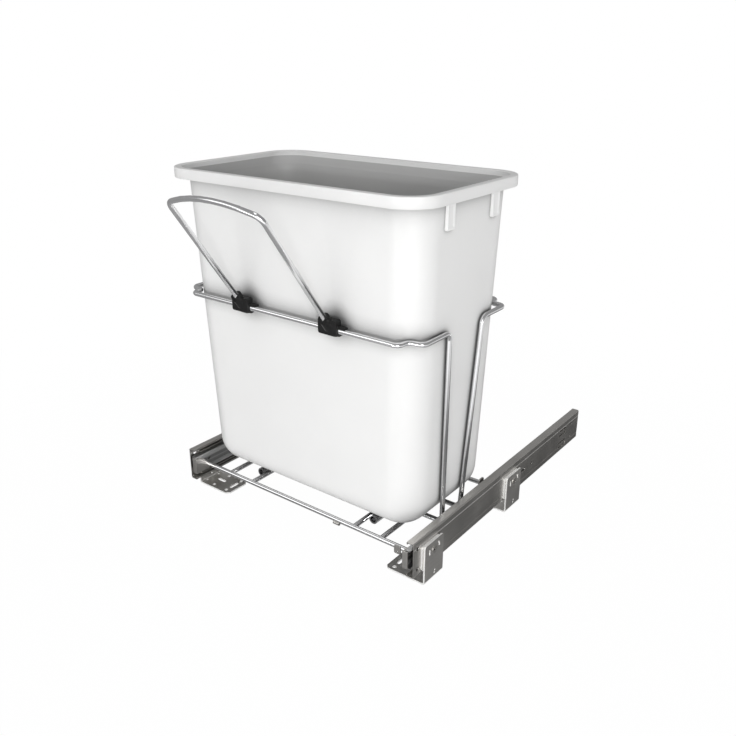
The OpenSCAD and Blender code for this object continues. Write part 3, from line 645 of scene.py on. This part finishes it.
def base_rings(t, z0, n=14):
    """Rings of the rounded base, from the flat floor outward."""
    r = BASE_ROUND - t
    out = []
    for a in reversed(arc(n)):
        inset = t + r * (1 - math.cos(a))
        out.append(rounded_ring(BASE[0] - inset, BASE[1] - inset, BODY_R - inset, z0 + r * (1 - math.sin(a))))
    return out


def rim_ring(inset, z):
    """Ring inset from the rim's outline."""
    return rounded_ring(RIM_X - inset, RIM_Y - inset, RIM_R - inset, z)


def neck_ring(inset, z):
    """Ring inset from the body's outline just below the flare."""
    return rounded_ring(NECK[0] - inset, NECK[1] - inset, BODY_R - inset, z)


def blend_rings(low, high, shares):
    """Rings between two rings."""
    return [[tuple(a + (b - a) * s for a, b in zip(p, q)) for p, q in zip(low, high)] for s in shares]


def bin_rings():
    """Rings from the outer floor up to the rim, over the skirt and the lip, and down inside to the floor."""
    top, floor = BIN_HIGH.z, BIN_LOW.z
    neck_z = top - FLARE_H
    under_z = top - SKIRT_T
    skirt_z = top - RIM_H
    outer = base_rings(0, floor)
    inner = base_rings(WALL, floor + FLOOR_T)
    rings = list(outer)
    rings += blend_rings(outer[-1], neck_ring(0, neck_z), [0.25, 0.5, 0.75, 0.97])
    rings.append(neck_ring(0, neck_z))
    flare = rim_ring(RIM_LIP - WALL, under_z)
    rings += blend_rings(neck_ring(0, neck_z), flare, [0.06, 0.85])
    rings.append(flare)
    rings.append(rim_ring(SKIRT_T + SKIRT_CORNER, under_z))
    rings.append(rim_ring(SKIRT_T, under_z - SKIRT_CORNER))
    rings.append(rim_ring(SKIRT_T, skirt_z + SKIRT_EDGE))
    rings += [rim_ring(SKIRT_T / 2 * (1 + math.cos(a)), skirt_z + SKIRT_EDGE * (1 - math.sin(a)))
              for a in arc(3)]
    rings += [rim_ring(SKIRT_T / 2 * (1 - math.sin(a)), skirt_z + SKIRT_EDGE * (1 - math.cos(a)))
              for a in arc(3)]
    rings += [rim_ring(RIM_EDGE_R * (1 - math.cos(a)), top - RIM_EDGE_R * (1 - math.sin(a))) for a in arc(8)]
    rings += [rim_ring(RIM_LIP - LIP_EDGE_R * (1 - math.sin(a)), top - LIP_EDGE_R * (1 - math.cos(a)))
              for a in arc(8)]
    mouth = rim_ring(RIM_LIP, top - LIP_EDGE_R)
    neck = neck_ring(WALL, neck_z)
    rings += blend_rings(mouth, neck, [0.3, 0.6, 0.9])
    rings.append(neck)
    rings += blend_rings(neck, inner[-1], [0.03, 0.25, 0.5, 0.75])
    rings += inner[::-1]
    return rings


def pad_rings(s, y):
    """Rounded pad on a short side, built outward from the wall, with a shallow hollow in its face."""
    z1 = BIN_HIGH.z - RIM_H
    z0 = z1 - PAD_H
    x0 = NECK[0] - PAD_SINK
    x1 = NECK[0] + PAD_PROUD
    half = PAD_W / 2

    def outline(x, inset):
        out = []
        for k, (sy, sz) in enumerate(((1, 1), (-1, 1), (-1, -1), (1, -1))):
            for j in range(5):
                a = math.radians(90 * (k + j / 4))
                r = max(PAD_CORNER - inset, 0.3)
                cy = y + sy * (half - inset - r)
                cz = (z0 + z1) / 2 + sz * (PAD_H / 2 - inset - r)
                out.append((s * x, cy + r * math.cos(a), cz + r * math.sin(a)))
        return out if s > 0 else out[::-1]

    steps = ((x0, 0), (x1 - 0.9, 0), (x1 - 0.3, 0.25), (x1, 0.9), (x1, 2.6), (x1 - 0.5, 3.4), (x1 - 0.6, 4.6))
    return [outline(x, inset) for x, inset in steps]


def make_bin(materials):
    """One shell for the bin and its pads; the inside gets a darker grey of the plastic, a painted shade, and
    the pads a paler grey, a painted light, each as its own material.
    """
    rings = bin_rings()
    points, faces = loft(rings)
    side = len(rings[0])
    outside = (len(rings) - 1 - INSIDE_RINGS) * side
    shell_faces = len(faces)
    for s in (-1, 1):
        for y in PAD_YS:
            more, their = loft(pad_rings(s, y))
            faces += [tuple(i + len(points) for i in f) for f in their]
            points += more
    shell = new_mesh("bin_shell", points, faces)
    shade_by_angle(shell, 40)
    finish_piece(shell, "bin", "bin_plastic", materials, ["waste_bin"])
    shell.data.materials.append(materials["bin_inside_painted_shade"])
    shell.data.materials.append(materials["bin_pads_painted_light"])
    for face in shell.data.polygons:
        if face.index >= shell_faces:
            face.material_index = 2
        elif outside <= face.index < shell_faces - 2 or face.index == shell_faces - 1:
            face.material_index = 1


# Stage

def make_floor():
    """Pale floor. The camera sees it nearly white with a faint shadow. Metal sees it dark beside and under
    the unit, dim to the left and straight below, and white out in front."""
    bpy.ops.mesh.primitive_plane_add(size=FLOOR_SIZE)
    floor = bpy.context.object
    floor.name = "floor"
    material, nodes, links, shader = tree_of("floor_white")
    shader.inputs["Base Color"].default_value = (0.9, 0.9, 0.9, 1)
    shader.inputs["Roughness"].default_value = 0.9
    shader.inputs["Specular IOR Level"].default_value = 0.0
    path = nodes.new("ShaderNodeLightPath")
    camera, glossy = path.outputs["Is Camera Ray"], path.outputs["Is Glossy Ray"]
    place = nodes.new("ShaderNodeSeparateXYZ")
    links.new(nodes.new("ShaderNodeNewGeometry").outputs["Position"], place.inputs[0])
    x, y = place.outputs["X"], place.outputs["Y"]
    side = fade(nodes, links, math_node(nodes, links, "ABSOLUTE", x), *SHADE_SIDE_FADE)
    front = fade(nodes, links, y, *SHADE_FRONT_FADE)
    back = fade(nodes, links, y, *SHADE_BACK_FADE)
    shade = math_node(nodes, links, "MULTIPLY", math_node(nodes, links, "MULTIPLY", side, front), back)
    steep = nodes.new("ShaderNodeSeparateXYZ")
    links.new(nodes["Geometry"].outputs["Incoming"], steep.inputs[0])
    light = mixed(nodes, links, fade(nodes, links, y, *FRONT_FLOOR_FADE), FAR_FLOOR, FRONT_FLOOR)
    light = mixed(nodes, links, fade(nodes, links, x, *LEFT_FLOOR_FADE), light, LEFT_FLOOR)
    level = mixed(nodes, links, shade, light, SHADE_LEVEL)
    level = mixed(nodes, links, fade(nodes, links, steep.outputs["Z"], *STEEP_FADE), level, STEEP_LEVEL)
    level = mixed(nodes, links, glossy, 1.0, level)
    far = nodes.new("ShaderNodeVectorMath")
    far.operation = "LENGTH"
    links.new(nodes["Geometry"].outputs["Position"], far.inputs[0])
    plain = mixed(nodes, links, fade(nodes, links, far.outputs["Value"], *WHITE_FADE), FLOOR_WHITE, 1.0)
    share = math_node(nodes, links, "MAXIMUM", math_node(nodes, links, "MULTIPLY", camera, plain), glossy)
    white = nodes.new("ShaderNodeEmission")
    links.new(level, white.inputs["Strength"])
    mix = nodes.new("ShaderNodeMixShader")
    links.new(share, mix.inputs[0])
    links.new(shader.outputs[0], mix.inputs[1])
    links.new(white.outputs[0], mix.inputs[2])
    links.new(mix.outputs[0], nodes["Material Output"].inputs["Surface"])
    floor.data.materials.append(material)


def make_world():
    """Grey light on the unit, weaker from behind. The camera sees the world white; metal sees a dim room."""
    world = bpy.data.worlds.new("studio")
    bpy.context.scene.world = world
    world.use_nodes = True
    nodes = world.node_tree.nodes
    links = world.node_tree.links
    path = nodes.new("ShaderNodeLightPath")
    camera, glossy = path.outputs["Is Camera Ray"], path.outputs["Is Glossy Ray"]
    way = nodes.new("ShaderNodeSeparateXYZ")
    links.new(nodes.new("ShaderNodeTexCoord").outputs["Generated"], way.inputs[0])
    back = fade(nodes, links, way.outputs["Y"], *DULL_BACK_FADE)
    low = fade(nodes, links, way.outputs["Z"], *DULL_LOW_FADE)
    dull = math_node(nodes, links, "MULTIPLY", math_node(nodes, links, "MULTIPLY", back, low), glossy)
    toward = nodes.new("ShaderNodeVectorMath")
    toward.operation = "DOT_PRODUCT"
    toward.inputs[1].default_value = BRIGHT_WAY
    mirrored = nodes.new("ShaderNodeCombineXYZ")
    links.new(math_node(nodes, links, "ABSOLUTE", way.outputs["X"]), mirrored.inputs["X"])
    links.new(way.outputs["Y"], mirrored.inputs["Y"])
    links.new(way.outputs["Z"], mirrored.inputs["Z"])
    links.new(mirrored.outputs[0], toward.inputs[0])
    near = fade(nodes, links, toward.outputs["Value"], *BRIGHT_FADE)
    room = mixed(nodes, links, near, ROOM_LEVEL, BRIGHT_LEVEL)
    room = mixed(nodes, links, glossy, 1.0, room)
    room = mixed(nodes, links, dull, room, DULL_LEVEL)
    seen = math_node(nodes, links, "MAXIMUM", camera, glossy)
    level = nodes.new("ShaderNodeMix")
    level.data_type = "FLOAT"
    links.new(seen, level.inputs["Factor"])
    behind = fade(nodes, links, way.outputs["Y"], *BEHIND_FADE)
    links.new(mixed(nodes, links, behind, WORLD_LEVEL, BEHIND_LEVEL), level.inputs["A"])
    links.new(room, level.inputs["B"])
    background = nodes["Background"]
    background.inputs["Color"].default_value = (1, 1, 1, 1)
    links.new(level.outputs["Result"], background.inputs["Strength"])


def area_light(name, at, target, size, power):
    """Rectangular lamp that faces its target."""
    data = bpy.data.lights.new(name, "AREA")
    data.shape = "RECTANGLE"
    data.size, data.size_y = size
    data.energy = power
    light = bpy.data.objects.new(name, data)
    bpy.context.scene.collection.objects.link(light)
    light.location = at
    light.rotation_euler = (Vector(target) - Vector(at)).to_track_quat("-Z", "Y").to_euler()


def make_camera():
    """Camera at the photograph's place, turned by its azimuth and elevation."""
    data = bpy.data.cameras.new("camera")
    camera = bpy.data.objects.new("camera", data)
    bpy.context.scene.collection.objects.link(camera)
    data.sensor_width = 36.0
    data.lens = CAMERA_LENS
    data.clip_start = 0.01
    az, el = math.radians(CAMERA_AZ), math.radians(CAMERA_EL)
    back = Vector((math.sin(az) * math.cos(el), -math.cos(az) * math.cos(el), math.sin(el)))
    right = Vector((math.cos(az), math.sin(az), 0))
    up = back.cross(right)
    camera.matrix_world = Matrix.Translation(Vector(CAMERA_AT) * MM) @ Matrix((
        (right.x, up.x, back.x, 0), (right.y, up.y, back.y, 0), (right.z, up.z, back.z, 0), (0, 0, 0, 1)))
    bpy.context.scene.camera = camera


def main():
    """Builds the scene."""
    make_camera()
    materials = make_materials()
    dress_cad(materials)
    make_hoops(materials)
    make_bail(materials)
    make_bin(materials)
    make_floor()
    make_world()
    for lamp in LAMPS:
        area_light(*lamp)
    bpy.context.scene.view_settings.view_transform = "Standard"


main()
